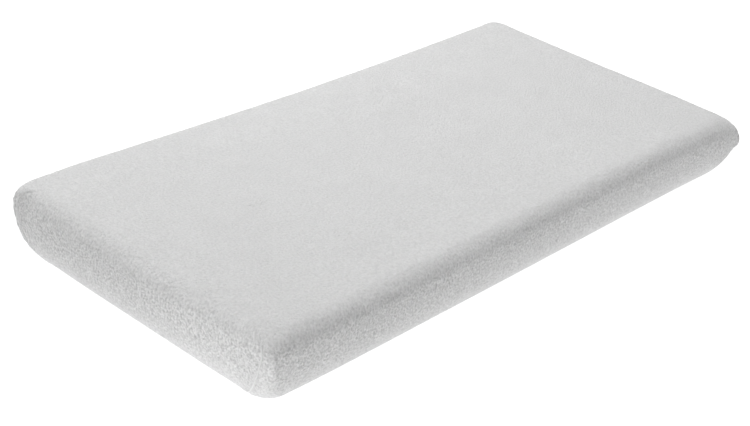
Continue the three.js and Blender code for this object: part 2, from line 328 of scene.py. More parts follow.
def plushMaterial(look):
    # Short dense pile. Tufts, a coarser nap and fine fibres make the relief. The grey moves
    # with the tufts as painted shade between them, stronger on the sides, and with a faint mottle.
    material, tree, shader, place = shaderMaterial("plush", (look["grey"],) * 3, 1.0, 0.1)
    shader.inputs["Sheen Weight"].default_value = 0.1
    shader.inputs["Sheen Roughness"].default_value = 0.6
    tufts = noiseNode(tree, place["Object"], look["tuftScale"], 3, 0.6)
    nap = noiseNode(tree, place["Object"], look["napScale"], 2)
    fibres = noiseNode(tree, place["Object"], look["fibreScale"], 2)
    mottle = noiseNode(tree, place["Object"], look["mottleScale"], 3, 0.6)
    relief = mathNode(tree, "MULTIPLY_ADD", nap, 0.4, tufts)
    relief = mathNode(tree, "MULTIPLY_ADD", fibres, 0.3, relief)
    bumpNode(tree, shader, relief, look["pileHeight"])
    axes = tree.nodes.new("ShaderNodeSeparateXYZ")
    tree.links.new(place["Normal"], axes.inputs["Vector"])
    # Painted shade between the tufts: the tufts darken and lighten the grey, more where the surface
    # faces sideways
    flatness = mathNode(tree, "ABSOLUTE", axes.outputs["Z"])
    tuftShadeAmount = mathNode(tree, "MULTIPLY_ADD", flatness, look["topTuftShade"] - look["sideTuftShade"],
                     look["sideTuftShade"])
    paintedTuftShade = mathNode(tree, "MULTIPLY", mathNode(tree, "SUBTRACT", tufts, 0.5), tuftShadeAmount)
    drift = mathNode(tree, "MULTIPLY_ADD", mottle, 0.06, look["grey"] - 0.03)
    tree.links.new(mathNode(tree, "ADD", paintedTuftShade, drift), shader.inputs["Base Color"])
    return material


def threadMaterial():
    material, tree, shader, place = shaderMaterial("seamThread", (0.88, 0.88, 0.88), 0.8)
    twist = waveNode(tree, place["Object"], 320, "DIAGONAL")
    fibres = noiseNode(tree, place["Object"], 900, 2)
    bumpNode(tree, shader, mathNode(tree, "MULTIPLY_ADD", fibres, 0.5, twist), 0.0002)
    tintNode(tree, shader, fibres, (0.84, 0.84, 0.84), (0.90, 0.90, 0.90))
    return material


def linerMaterial():
    # Fine plain weave under a thin coating
    material, tree, shader, place = shaderMaterial("coatedCloth", (0.90, 0.91, 0.91), 0.45, 0.4)
    shader.inputs["Coat Weight"].default_value = 0.15
    warp = waveNode(tree, place["Object"], 760, "X", 0.2)
    weft = waveNode(tree, place["Object"], 760, "Y", 0.2)
    crinkle = noiseNode(tree, place["Object"], 60, 3)
    weave = mathNode(tree, "MULTIPLY", warp, weft)
    bumpNode(tree, shader, mathNode(tree, "MULTIPLY_ADD", crinkle, 4.0, weave), 0.00012)
    tintNode(tree, shader, crinkle, (0.87, 0.88, 0.885), (0.92, 0.925, 0.925))
    shine = mathNode(tree, "MULTIPLY_ADD", crinkle, 0.2, 0.35)
    tree.links.new(shine, shader.inputs["Roughness"])
    return material


def foamMaterial():
    # Open cells: rounded hollows of two sizes, with painted shade inside them
    material, tree, shader, place = shaderMaterial("openFoam", (0.88, 0.84, 0.72), 0.95, 0.1)
    cells = tree.nodes.new("ShaderNodeTexVoronoi")
    cells.inputs["Scale"].default_value = 1100
    tree.links.new(place["Object"], cells.inputs["Vector"])
    pores = noiseNode(tree, place["Object"], 1600, 2)
    relief = mathNode(tree, "MULTIPLY_ADD", pores, 0.4, cells.outputs["Distance"])
    bumpNode(tree, shader, relief, 0.0004)
    # Painted shade: the colour darkens in the hollows of the cells
    tintNode(tree, shader, relief, (0.74, 0.69, 0.56), (0.90, 0.86, 0.75), 0.1, 0.6)
    return material


def webbingMaterial():
    material, tree, shader, place = shaderMaterial("webbing", (0.90, 0.90, 0.89), 0.75)
    warp = waveNode(tree, place["Object"], 620, "X", 0.3)
    ribs = waveNode(tree, place["Object"], 380, "Y", 0.3)
    fibres = noiseNode(tree, place["Object"], 700, 2)
    weave = mathNode(tree, "MULTIPLY", warp, ribs)
    bumpNode(tree, shader, mathNode(tree, "MULTIPLY_ADD", fibres, 0.5, weave), 0.0003)
    tintNode(tree, shader, weave, (0.82, 0.82, 0.81), (0.92, 0.92, 0.91), 0.0, 0.8)
    return material


def nylonMaterial():
    material, tree, shader, place = shaderMaterial("nylon", (0.88, 0.88, 0.88), 0.35, 0.5)
    drawn = noiseNode(tree, place["Object"], 240, 2)
    tintNode(tree, shader, drawn, (0.85, 0.85, 0.85), (0.91, 0.91, 0.91))
    tree.links.new(mathNode(tree, "MULTIPLY_ADD", drawn, 0.25, 0.25), shader.inputs["Roughness"])
    bumpNode(tree, shader, drawn, 0.0001)
    return material


def metalMaterial():
    # Satin die-casting: fine tumbling marks, and patches that are rubbed brighter
    material, tree, shader, place = shaderMaterial("satinMetal", (0.70, 0.71, 0.73), 0.32, 0.5)
    shader.inputs["Metallic"].default_value = 1
    marks = noiseNode(tree, place["Object"], 1400, 3)
    rubbed = noiseNode(tree, place["Object"], 180, 2)
    tintNode(tree, shader, rubbed, (0.60, 0.61, 0.63), (0.80, 0.81, 0.82))
    tree.links.new(mathNode(tree, "MULTIPLY_ADD", rubbed, -0.25, 0.45), shader.inputs["Roughness"])
    bumpNode(tree, shader, marks, 0.00006)
    return material


plush = plushMaterial(plushLook)
thread = threadMaterial()
coated = linerMaterial()
foam = foamMaterial()
webbing = webbingMaterial()
nylon = nylonMaterial()
metal = metalMaterial()
print("materials made")

swellSettings = {
    "fine": 0.007,
    "coarse": 0.011,
    "startDepth": 0.0012,     # the cloth starts this much smaller
    "pressure": 4.0,
    "tension": 40.0,
    "frames": 20,
    "cap": 0.005,             # how far a point may move
    "keep": 0.28,             # share of the movement that the cover keeps
    "topShares": (1, 1, 0.7, 0.35),   # of the smooth curve, in the rows nearest the middle
}


def simulateSwell(shape, settings):
    # The cover as cloth, held at its hem and blown up from inside. It swells by centimetres,
    # far more than the real cover, so each movement is cut down to the cap, and a share of
    # that is kept. Most of the cover ends up moving by about the same 1.4 mm. Gives the rows
    # and columns of its grid and how far each point moves.
    places = np.concatenate([
        crossTop(0.010, 0.014, shape), np.linspace(0, 1, 6)[:-1],
        np.linspace(1, 2, 14)[:-1], 2 + np.linspace(0, casingInset - shape["tuckIn"], 5)])
    grid, around = layerGrid(places, settings["startDepth"], shape, settings["fine"],
                             settings["coarse"], 4)
    moved = np.zeros(grid.shape)
    trial = gridMesh("coverTrial", grid)
    mark = trial.data.attributes.new("gridPlace", "INT", "POINT")
    mark.data.foreach_set("value", np.arange(grid.shape[0] * grid.shape[1], dtype=np.int32))
    finishMesh(trial)
    count = len(trial.data.vertices)
    gridPlace = np.zeros(count, np.int32)
    trial.data.attributes["gridPlace"].data.foreach_get("value", gridPlace)
    held = trial.vertex_groups.new(name="held")
    held.add(np.flatnonzero(gridPlace >= grid.shape[1] * (len(places) - 2)).tolist(), 1.0, "REPLACE")
    cloth = trial.modifiers.new("swell", "CLOTH").settings
    cloth.use_pressure = True
    cloth.uniform_pressure_force = settings["pressure"]
    cloth.tension_stiffness = cloth.compression_stiffness = settings["tension"]
    cloth.effector_weights.gravity = 0
    cloth.vertex_group_mass = "held"
    for number in range(1, settings["frames"] + 1):
        scene.frame_set(number)
    blown = trial.evaluated_get(bpy.context.evaluated_depsgraph_get()).data
    end, start = np.zeros((2, count * 3), np.float32)
    blown.vertices.foreach_get("co", end)
    trial.data.vertices.foreach_get("co", start)
    step = (end - start).reshape(-1, 3).astype(float)
    size = np.linalg.norm(step, axis=1, keepdims=True)
    print("cloth moved", np.round(np.percentile(size, (10, 50, 90, 100)) * 1000, 2), "mm")
    # The movement levels off at the cap, as a hyperbolic tangent
    levelled = settings["cap"] * np.tanh(size / settings["cap"])
    step *= settings["keep"] * levelled / np.maximum(size, 1e-9)
    moved.reshape(-1, 3)[gridPlace] = step
    # Towards the middle line the cover moves only up, by a smooth curve along the pad
    curve = np.polyfit(grid[3, :, 0], moved[3, :, 2], 4)
    for row, share in enumerate(settings["topShares"]):
        moved[row] *= 1 - share
        moved[row, :, 2] += share * np.polyval(curve, grid[row, :, 0])
    bpy.data.objects.remove(trial)
    scene.frame_set(1)
    return places, around, moved


def resample(field, rowsFrom, columnsFrom, rowsTo, columnsTo):
    # Linear between grid points both ways, and round the pad from the last column to the first
    closed = np.concatenate([field, field[:, :1]], axis=1)
    column = np.interp(columnsTo, np.append(columnsFrom, columnsFrom[0] + 4), np.arange(closed.shape[1]))
    row = np.interp(rowsTo, rowsFrom, np.arange(closed.shape[0]))
    lowRow = np.minimum(row.astype(int), closed.shape[0] - 2)
    lowColumn = np.minimum(column.astype(int), closed.shape[1] - 2)
    partRow, partColumn = (row - lowRow)[:, None, None], (column - lowColumn)[None, :, None]
    upper, lower = closed[lowRow], closed[lowRow + 1]
    between = upper * (1 - partRow) + lower * partRow
    return between[:, lowColumn] * (1 - partColumn) + between[:, lowColumn + 1] * partColumn


def softened(field, times):
    # Each value becomes a quarter of both neighbours and half itself, along rows and round
    for _ in range(times):
        field = (np.roll(field, 1, 1) + 2 * field + np.roll(field, -1, 1)) / 4
        inner = (field[:-2] + 2 * field[1:-1] + field[2:]) / 4
        field = np.concatenate([field[:1], inner, field[-1:]])
    return field


swellRows, swellColumns, swell = simulateSwell(padShape, swellSettings)
print("cloth simulated")

seamAround = (2.432, 3.568, 0.432, 1.568)     # of each corner's seam, in the order of cornerSides
coverSettings = {
    "fine": 0.0018,           # cell size at the corners
    "coarse": 0.0062,         # cell size along the sides
    "cornerSteps": 11,
    "seamGroove": 0.0007,
    "grooveWidth": 0.0016,
    "seamShoulder": 0.0005,
    "shoulderAt": 0.0045,     # metres from the seam
    "shoulderWidth": 0.003,
    "puckerHeight": 0.0006,
    "puckerSpacing": 0.0085,
    "puckerReach": 0.012,
    "gatherHeight": 0.0013,   # of the gathers that the elastic makes, at the hem
    # share, spacing in metres and phase of each wave of the gathers
    "gatherWaves": ((0.5, 0.0141, 0), (0.35, 0.0217, 2.1), (0.4, 0.0383, 4.0)),
    "gatherFrom": 1.45,       # place where the gathers start
    "peakWidth": 0.0036,
    "peakAt": 1.06,
    # rear right, rear left, front left and front right corner
    "peakHeight": (0.0012, 0.0008, 0.0006, 0.0048),
    "creaseSeed": 7,
    "creases": 46,
    "creasesOnTop": 26,
    "creaseHeight": 0.00045,
}


def outwardOf(grid):
    # Unit vectors square to the surface, from the steps along rows and columns
    roundStep = np.roll(grid, -1, 1) - np.roll(grid, 1, 1)
    downStep = np.gradient(grid, axis=0)
    normal = np.cross(downStep, roundStep)
    size = np.linalg.norm(normal, axis=-1, keepdims=True)
    normal = np.where(size > 1e-12, normal / np.maximum(size, 1e-12), (0, 0, 1))
    normal[:4] = (0, 0, 1)
    return normal


def creaseRelief(points, settings):
    # Faint short creases, each a bell-shaped ridge along a line, on the top beside the
    # front edge, on the front side and by its right end
    chance = np.random.default_rng(settings["creaseSeed"])
    relief = np.zeros(points.shape[:-1])
    for number in range(settings["creases"]):
        onTop = number < settings["creasesOnTop"]
        x = chance.uniform(-0.36, 0.36) if number % 3 else chance.uniform(0.24, 0.38)
        centre = np.array([x, -chance.uniform(0.10, 0.18) if onTop else -halfWidth,
                           padHeight if onTop else chance.uniform(0.030, 0.080)])
        turn = chance.normal(quarterTurn, 0.5)
        rise = 0 if onTop else 1
        along = np.array([math.cos(turn), math.sin(turn) * (1 - rise), math.sin(turn) * rise])
        length = chance.uniform(0.012, 0.034)
        width = chance.uniform(0.0022, 0.0040)
        offset = points - centre
        run = offset @ along
        off = np.sqrt(np.maximum((offset ** 2).sum(-1) - run ** 2, 0))
        ridge = np.exp(-(run / length) ** 2 - (off / width) ** 2)
        relief += (0.5 if onTop else 1) * chance.choice([-1, 1]) * ridge
    return settings["creaseHeight"] * relief


def perimeterMetres(row):
    return np.concatenate([[0], np.cumsum(np.linalg.norm(np.diff(row, axis=0), axis=-1))])


def columnAt(around, place):
    return int(np.argmin(np.abs((around - place + 2) % 4 - 2)))


def coverRelief(grid, places, around, settings):
    # How far the outside stands out: the seam's groove and shoulders, the puckers beside
    # it, the gathers that the elastic makes, and the creases
    nearest = (np.round(around - 0.5) + 0.5) % 4
    columnOf = np.array([columnAt(around, min(seamAround, key=lambda seam: abs(seam - corner)))
                         for corner in nearest])
    line = grid[:, columnOf]
    off = np.linalg.norm(grid - line, axis=-1)
    run = np.concatenate([np.zeros((1, line.shape[1])),
                          np.cumsum(np.linalg.norm(np.diff(line, axis=0), axis=-1), axis=0)])
    row = places[:, None]
    onSeam = np.clip((row - 0.25) / 0.25, 0, 1) * np.clip((2.0 - row) / 0.2, 0, 1)
    shoulder = np.exp(-((off - settings["shoulderAt"]) / settings["shoulderWidth"]) ** 2)
    groove = np.exp(-(off / settings["grooveWidth"]) ** 2)
    relief = onSeam * (settings["seamShoulder"] * shoulder - settings["seamGroove"] * groove)
    wave = np.sin(2 * math.pi * run / settings["puckerSpacing"] + 1.7 * nearest)
    wave = wave + 0.6 * np.sin(2 * math.pi * run / (1.62 * settings["puckerSpacing"]) + off / 0.02)
    # The puckers rise from nothing at the seam and fade out past their reach
    envelope = np.exp(-off / settings["puckerReach"]) * (1 - np.exp(-off / 0.002))
    relief += onSeam * settings["puckerHeight"] * wave * envelope
    widest = grid[np.argmin(np.abs(places - 1))]
    metres = perimeterMetres(widest)
    ripple = sum(share * np.sin(2 * math.pi * metres / spacing + phase)
                 for share, spacing, phase in settings["gatherWaves"])
    fromCorner = np.abs((around - nearest + 2) % 4 - 2)
    nearCorner = 1 + 0.8 * np.exp(-(fromCorner / 0.12) ** 2)
    growth = np.clip((row - settings["gatherFrom"]) / 0.6, 0, 1) ** 2
    growth = growth * np.clip(1 - (row - 2) / 0.1, 0.6, 1)
    relief += settings["gatherHeight"] * ripple * nearCorner * growth
    # The spare cloth of each corner stands out as a small peak at the widest line
    corners = grid[:, [columnAt(around, corner) for corner in nearest]]
    apart = np.linalg.norm(grid - corners, axis=-1)
    peak = np.exp(-(apart / settings["peakWidth"]) ** 2 - ((row - settings["peakAt"]) / 0.06) ** 2)
    relief += np.interp(nearest, (0.5, 1.5, 2.5, 3.5), settings["peakHeight"]) * peak
    return relief + creaseRelief(grid, settings)


def makeCover(settings, shape):
    # Outside and inside of the cloth, joined at the hem. Both follow the simulated swell.
    under = 2 + np.linspace(0, casingInset - 0.0004 - shape["tuckIn"], 13)
    places = np.concatenate([crossTop(0.003, 0.009, shape), np.linspace(0, 1, 15)[:-1],
                             np.linspace(1, 2, 37)[:-1], under])
    outside, around = layerGrid(places, 0, shape, settings["fine"], settings["coarse"],
                                settings["cornerSteps"])
    moved = softened(resample(swell, swellRows, swellColumns, places, around), 3)
    relief = coverRelief(outside, places, around, settings)
    relief[:2] = 0
    outside = outside + moved + relief[..., None] * outwardOf(outside)
    # Nothing sinks under the surface that the pad lies on
    outside[..., 2] = np.maximum(outside[..., 2], 0.0)
    fewer = np.unique(np.append(np.arange(0, len(places), 2), len(places) - 1))
    inside = layerGrid(places[fewer], coverThickness, shape, settings["fine"], settings["coarse"],
                       settings["cornerSteps"])[0] + moved[fewer]
    piece = finishMesh(gridMesh("plushCover", np.concatenate([outside, inside[::-1]])), 1e-5)
    return dress(piece, plush, ["fitted_cover"]), outside, places, around


cover, coverGrid, coverRows, coverColumns = makeCover(coverSettings, padShape)


def tubeSections(path, radius, sides, up, closed=False):
    # A circle of points round each point of the path, square to it
    if closed:
        ahead = np.roll(path, -1, 0) - np.roll(path, 1, 0)
    else:
        ahead = np.gradient(path, axis=0)
    ahead = ahead / np.linalg.norm(ahead, axis=1, keepdims=True)
    side = np.cross(np.broadcast_to(up, path.shape), ahead)
    side = side / np.maximum(np.linalg.norm(side, axis=1, keepdims=True), 1e-9)
    over = np.cross(ahead, side)
    angle = np.linspace(0, 2 * math.pi, sides, endpoint=False)[None, :, None]
    size = np.broadcast_to(radius, len(path))[:, None, None]
    return path[:, None] + size * (np.cos(angle) * side[:, None] + np.sin(angle) * over[:, None])


def evenly(path, spacing):
    # The path as points a fixed distance apart
    run = perimeterMetres(path)
    places = np.arange(spacing / 2, run[-1], spacing)
    return np.stack([np.interp(places, run, path[:, axis]) for axis in range(3)], -1)


def stitches(name, paths, stitch, turn=0.0):
    # A row of short rounded threads along each path: six-sided, narrowing at both ends.
    # turn slants them across the path, in radians.
    capsules = []
    lengthwise = np.array([-1, -0.75, 0, 0.75, 1]) * stitch["length"] / 2
    radius = np.array([0.35, 0.85, 1, 0.85, 0.35]) * stitch["radius"]
    angle = np.linspace(0, 2 * math.pi, 6, endpoint=False)
    for path, up in paths:
        centre = evenly(path, stitch["spacing"])
        ahead = np.gradient(centre, axis=0)
        ahead = ahead / np.linalg.norm(ahead, axis=1, keepdims=True)
        share, knots = np.linspace(0, 1, len(centre)), np.linspace(0, 1, len(up))
        over = np.array([np.interp(share, knots, up[:, axis]) for axis in range(3)]).T
        side = np.cross(over, ahead)
        run = math.cos(turn) * ahead + math.sin(turn) * side
        aside = math.cos(turn) * side - math.sin(turn) * ahead
        ring = (np.cos(angle)[:, None] * aside[:, None] + np.sin(angle)[:, None] * over[:, None])
        capsules.append(centre[:, None, None] + lengthwise[:, None, None] * run[:, None, None]
                        + radius[:, None, None] * ring[:, None])
    points = np.concatenate(capsules)
    count = len(points)
    base = np.arange(count)[:, None] * 30
    index = np.arange(30).reshape(5, 6)
    wall = np.stack([index[:-1], index[1:], np.roll(index, -1, 1)[1:], np.roll(index, -1, 1)[:-1]], -1)
    quads = (base[:, :, None] + wall.reshape(1, -1, 4)).reshape(-1, 4)
    ends = [base + index[0][None], base + index[-1][None, ::-1]]
    return finishMesh(meshOf(name, points, [quads, *ends]), 1e-7)


seamSettings = {
    "radius": 0.0009,
    "from": 0.5,
    "to": 1.86,
    "sides": 10,
    "lift": 0.0006,           # of the ridge's middle, out of the groove
    "stitchLift": 0.0014,
    "stitch": {"spacing": 0.0034, "length": 0.0030, "radius": 0.00028},
}


def makeCornerSeams(settings):
    # A rolled ridge down each corner, in the cover's groove, with slanted stitches over it
    names = ("FrontLeft", "FrontRight", "RearRight", "RearLeft")
    nodeNames = ("front_left", "front_right", "rear_right", "rear_left")
    outward = outwardOf(coverGrid)
    rows = np.flatnonzero((coverRows >= settings["from"]) & (coverRows <= settings["to"]))
    paths = []
    for (sideX, sideY), seam, name, nodeName in zip(cornerSides, seamAround, names, nodeNames):
        column = columnAt(coverColumns, seam)
        line, lift = coverGrid[rows, column], outward[rows, column]
        path = evenly(line + lift * settings["lift"], 0.0012)
        share = np.linspace(0, 1, len(path))
        radius = settings["radius"] * np.minimum(1, 0.25 + 8 * np.minimum(share, 1 - share))
        radius = radius * (1 + 0.07 * np.sin(2 * math.pi * share * len(path) * 0.0012 / 0.0034))
        ring = tubeSections(path, radius, settings["sides"], (-sideY, sideX, 0))
        piece = finishMesh(gridMesh("cornerSeam" + name, ring, capped=True))
        dress(piece, thread, ["corner_seam_" + nodeName])
        paths.append((line + lift * settings["stitchLift"], lift))
    dress(stitches("cornerStitches", paths, settings["stitch"], 0.6), thread)


makeCornerSeams(seamSettings)

hemSettings = {
    "width": 0.014,
    "wall": 0.0005,
    "low": 0.0004,
    "fold": 0.001,            # how far the fold reaches past the flat part
    "foldInside": 0.0006,
    "puckerHeight": 0.0011,
    "puckerSpacing": 0.0092,
    "puckerSwell": 0.00018,
    "stitch": {"spacing": 0.0042, "length": 0.0032, "radius": 0.00025},
}


def flatLoop(section, shape, fine=0.004, coarse=0.005, steps=12):
    # A section, given as inset and height, carried round the pad on the underside
    inset, height = section[:, 0], section[:, 1]
    corner = shape["cornerAtBase"] + 0 * inset
    return settle(roundedRings(inset, height, corner, fine, coarse, steps)[0], shape)


def makeHem(settings, shape):
    # A folded casing, open along its outer edge: outer wall round the fold and back, then
    # the inner wall. The elastic draws it into gathers, deepest at the fold.
    bend = np.linspace(quarterTurn, -quarterTurn, 9)
    fold, foldInside = settings["fold"], settings["foldInside"]
    straight = np.linspace(0, settings["width"] - fold, 6)
    high, low, wall = coverThickness, settings["low"], settings["wall"]
    middle, half = (high + low) / 2, (high - low) / 2
    foldX = settings["width"] - fold + fold * np.cos(bend[1:-1])
    outer = np.concatenate([
        np.stack([straight, high + 0 * straight], 1),
        np.stack([foldX, middle + half * np.sin(bend[1:-1])], 1),
        np.stack([straight[::-1], low + 0 * straight], 1)])
    innerX = straight[-1] - foldInside + foldInside * np.cos(bend[::-1])
    innerZ = middle - (half - wall) * np.sin(bend)
    inner = np.concatenate([[[0, low + wall]], np.stack([innerX, innerZ], 1), [[0, high - wall]]])
    section = np.concatenate([outer, inner]) + (casingInset, 0)
    grid = flatLoop(section, shape)
    metres = perimeterMetres(grid[0])
    ripple = np.sin(2 * math.pi * metres / settings["puckerSpacing"])
    ripple = ripple + 0.5 * np.sin(2 * math.pi * metres / (1.73 * settings["puckerSpacing"]) + 1)
    depth = np.clip((section[:, 0] - casingInset) / settings["width"], 0, 1)[:, None]
    length = np.linalg.norm(grid[..., :2], axis=-1, keepdims=True)
    inward = -grid[..., :2] / np.maximum(length, 1e-6)
    grid[..., :2] += inward * (settings["puckerHeight"] * depth * ripple)[..., None]
    outerFace = (np.arange(len(section)) < len(outer))[:, None]
    side = np.sign(section[:, 1] - middle)[:, None]
    swelling = settings["puckerSwell"] * np.abs(ripple) * np.sin(depth * math.pi)
    grid[..., 2] += outerFace * side * swelling
    piece = finishMesh(gridMesh("hemCasing", grid, wrapRows=True))
    dress(piece, plush, ["hem_casing"])

    stitchSection = np.array([[casingInset + 0.003, low - 0.0001]])
    line = flatLoop(stitchSection, shape)[0]
    line = np.concatenate([line, line[:1]])
    down = np.broadcast_to((0.0, 0.0, -1.0), line.shape)
    rows = stitches("hemStitches", [(line, down)], settings["stitch"])
    return piece, dress(rows, thread)


hem, hemThread = makeHem(hemSettings, padShape)


elasticSettings = {"band": 0.008, "waveHeight": 0.00008, "waveSpacing": 0.006}


def makeElastic(settings, shape):
    # A flat band inside the casing, with the wavy edges of elastic at rest
    low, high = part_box("hem_elastic")
    inset = halfLength - high[0]
    band = settings["band"]
    middle, half = (low[2] + high[2]) / 2, (high[2] - low[2]) / 2
    bend = np.linspace(0, 2 * math.pi, 20, endpoint=False)
    across = band / 2 * np.sign(np.cos(bend)) * np.abs(np.cos(bend)) ** 0.4
    section = np.stack([inset + band / 2 + across, middle + half * np.sin(bend)], 1)
    grid = flatLoop(section, shape)
    edge = np.abs(across / band * 2)[:, None] ** 4
    turns = perimeterMetres(grid[0]) / settings["waveSpacing"]
    grid[..., 2] += settings["waveHeight"] * edge * np.sin(2 * math.pi * turns)
    piece = finishMesh(gridMesh("hemElastic", grid, wrapRows=True))
    return dress(piece, webbing, ["hem_elastic"])


makeElastic(elasticSettings, padShape)


def makeLabel():
    # A blank woven label, folded double, that lies with a slight wave
    low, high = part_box("care_label")
    steps = np.linspace(low[1], high[1], 30)
    bend = np.linspace(0, 2 * math.pi, 24, endpoint=False)
    halfX, halfZ = (high[0] - low[0]) / 2, (high[2] - low[2]) / 2
    x = (low[0] + high[0]) / 2 + halfX * np.sign(np.cos(bend)) * np.abs(np.cos(bend)) ** 0.25
    z = (low[2] + high[2]) / 2 + halfZ * np.sign(np.sin(bend)) * np.abs(np.sin(bend)) ** 0.6
    share = (steps - low[1]) / (high[1] - low[1])
    lift = 0.0003 * np.sin(share * 5)[:, None] * np.cos((x - x.mean()) / halfX)[None]
    grid = np.stack([np.broadcast_to(x, lift.shape), np.broadcast_to(steps[:, None], lift.shape),
                     z[None] + lift], -1)
    piece = finishMesh(gridMesh("careLabel", grid, capped=True), sharpAngle=1.0)
    return dress(piece, webbing, ["care_label"])


label = makeLabel()
print("cover, seams and hem made")

linerSettings = {
    "thickness": 0.0008,
    "seamAt": 0.55,           # place round the upper edge where top and side meet
    "seamGap": 0.02,
    "lip": 0.008,             # how far the side band runs in under the pad
    "fine": 0.005,
    "coarse": 0.010,
}


def shellGrid(places, settings, shape):
    # The outside of a liner panel, then its inside on the way back
    pair = [layerGrid(places, linerDepth + extra, shape, settings["fine"], settings["coarse"], 6)[0]
            for extra in (0, settings["thickness"])]
    return np.concatenate([pair[0], pair[1][::-1]])


def makeLinerShells(settings, shape):
    edge = settings["seamAt"]
    topPlaces = np.concatenate([crossTop(0.006, 0.012, shape), np.linspace(0, edge, 8)])
    top = finishMesh(gridMesh("linerTopPanel", shellGrid(topPlaces, settings, shape)), 1e-5)
    dress(top, coated, ["liner_top_panel"])
    lip = 0.056 + settings["lip"] - shape["tuckIn"]
    bandPlaces = np.concatenate([
        [edge + settings["seamGap"]], np.linspace(0.65, 1, 5)[:-1], np.linspace(1, 2, 21)[:-1],
        2 + np.linspace(0, lip, 3)])
    band = finishMesh(gridMesh("linerSideBand", shellGrid(bandPlaces, settings, shape), wrapRows=True))
    return top, dress(band, coated, ["liner_side_band"])


linerTop, linerBand = makeLinerShells(linerSettings, padShape)


panelSettings = {
    "corner": 0.036,
    "closeOver": 0.010,       # length over which the two panels come together
    "puckerHeight": 0.00012,
    "puckerSpacing": 0.011,
    "puckerReach": 0.012,
    "stitchInset": 0.0025,
}


def makeBottomPanel(name, nodeName, settings):
    # A thin panel with two rounded corners on one side and a straight edge along the zip,
    # carried along the pad as a section. The cloth puckers faintly along the zip, and past
    # its ends the two panels meet.
    low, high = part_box(nodeName)
    corner = settings["corner"]
    isFront = low[1] < 0 and high[1] < zipY
    steps = gradedSteps(high[0] - low[0], 0.0012, 0.009, 0.12) + low[0]
    intoCorner = np.clip(np.abs(steps) - (high[0] - corner), 0, corner)
    cut = corner - np.sqrt(np.maximum(corner ** 2 - intoCorner ** 2, 0))
    start = low[1] + cut if isFront else high[1] - cut
    side = -1 if isFront else 1
    slitEdge = high[1] if isFront else low[1]
    closing = smoothStep((np.abs(steps) - zipReach - tapeTail) / settings["closeOver"])
    straight = slitEdge + (zipY + 0.0002 * side - slitEdge) * closing
    share = gradedSteps(1, 0.02, 0.09, 0.4)
    across = start[:, None] + (straight - start)[:, None] * share[None]
    fade = np.exp(-np.abs(across - straight[:, None]) / settings["puckerReach"])
    pucker = fade * np.sin(2 * math.pi * steps / settings["puckerSpacing"])[:, None]
    sides = []
    for height, sign in ((low[2], 1), (high[2], 1)):
        z = height + settings["puckerHeight"] * pucker * sign
        sides.append(np.stack([np.broadcast_to(steps[:, None], z.shape), across, z], -1))
    grid = np.concatenate([sides[0], sides[1][:, ::-1]], axis=1)
    piece = finishMesh(gridMesh(name, grid, capped=True), sharpAngle=1.0)
    line = np.stack([steps, straight + settings["stitchInset"] * side, low[2] - 0.0001 + 0 * steps], -1)
    return dress(piece, coated, [nodeName]), line


bottomFront, frontLine = makeBottomPanel("linerBottomFront", "liner_bottom_front", panelSettings)
bottomRear, rearLine = makeBottomPanel("linerBottomRear", "liner_bottom_rear", panelSettings)
zipStitch = {"spacing": 0.0034, "length": 0.0026, "radius": 0.00028}
downwards = np.array([[0.0, 0.0, -1.0]] * 2)
zipRows = [(line[np.abs(line[:, 0]) < zipReach + tapeTail + 0.01], downwards)
           for line in (frontLine, rearLine)]
dress(stitches("zipStitches", zipRows, zipStitch), thread)

foamSettings = {
    "fine": 0.005,
    "coarse": 0.010,
    "troughDepth": 0.0056,
    "troughFlat": 0.010,      # half width of its flat part
    "troughEdge": 0.023,      # half width where it has faded out
    "cutRipple": 0.0002,      # left by the knife that cut the sides
}


def makeFoam(settings, shape):
    # A cut slab, closed at the middle of its top and its underside, with a hollow where it
    # yields to the zip
    places = np.concatenate([
        crossTop(0.005, 0.012, shape), np.linspace(0, 1, 9)[:-1], np.linspace(1, 2, 21)[:-1],
        2 + np.linspace(0, halfWidth - shape["tuckIn"], 46)])
    grid = layerGrid(places, foamDepth, shape, settings["fine"], settings["coarse"], 6)[0]
    reach = zipReach + tapeTail + 0.018
    off = np.abs(grid[..., 1] - zipY)
    troughFade = settings["troughEdge"] - settings["troughFlat"]
    across = smoothStep((settings["troughEdge"] - off) / troughFade)
    along = smoothStep((reach - np.abs(grid[..., 0])) / 0.008)
    under = (places >= 2)[:, None]
    grid[..., 2] += settings["troughDepth"] * across * along * under
    onSide = ((places > 0.6) & (places < 1.9))[:, None]
    ripple = settings["cutRipple"] * np.sin(grid[..., 2] / 0.0016) * onSide
    grid = grid - np.abs(ripple)[..., None] * outwardOf(grid)
    piece = finishMesh(gridMesh("foamCore", grid), 1e-5)
    return dress(piece, foam, ["foam_core"])


foamCore = makeFoam(foamSettings, padShape)
print("liner and foam made")


tapeSettings = {
    "thickness": 0.0006,
    "stepAt": 0.009,          # metres from the middle of the zip, where the tape starts to step up
    "stepWidth": 0.0027,
    "edge": 0.0003,           # radius of its two edges
    "closeAfter": 0.0055,     # past the coils, where the two tapes close up
    "closeOver": 0.005,
    "weaveHeight": 0.00002,
}


